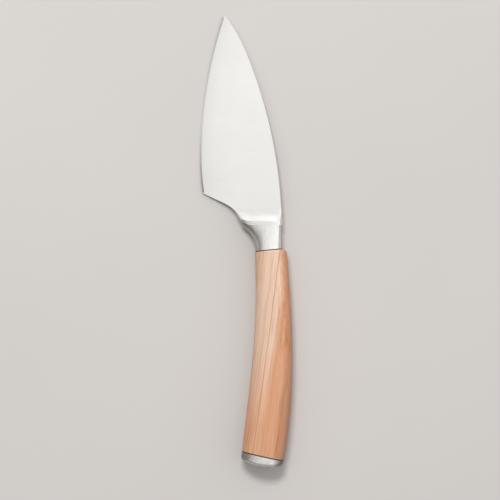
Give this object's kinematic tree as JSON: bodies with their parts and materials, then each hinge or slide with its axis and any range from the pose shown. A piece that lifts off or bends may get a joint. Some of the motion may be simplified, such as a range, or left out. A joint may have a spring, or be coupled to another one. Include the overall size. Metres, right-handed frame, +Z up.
{
  "type": "cheese knife",
  "caption": "Cheese knife with a broad curved steel blade, a cast bolster, a curved wooden grip and a domed steel end cap, lying on its side.",
  "frame": {"origin": "on the table under the middle of the knife as it lies on its side: centre of the box in X and Y, lowest point in Z", "axes": "+Y along the knife to the blade's tip, +X across it from the cutting edge to the spine, +Z up from the table"},
  "size_m": [0.0464, 0.2256, 0.017],
  "materials": {
    "blade_steel": "satin, brushed across the blade",
    "cast_steel": "satin, softly polished",
    "fibre": "dark brown vulcanised fibre",
    "cherry_wood": "oiled fruit wood, straight grain",
    "rod_steel": "bare drawn steel",
    "resin": "set epoxy adhesive"
  },
  "bodies": {
    "root": {"blade": "blade_steel", "bolster": "cast_steel", "front_spacer": "fibre", "handle": "cherry_wood", "rear_spacer": "fibre", "end_cap": "cast_steel", "tang_rod": "rod_steel", "tang_adhesive": "resin"}
  },
  "joints": []
}
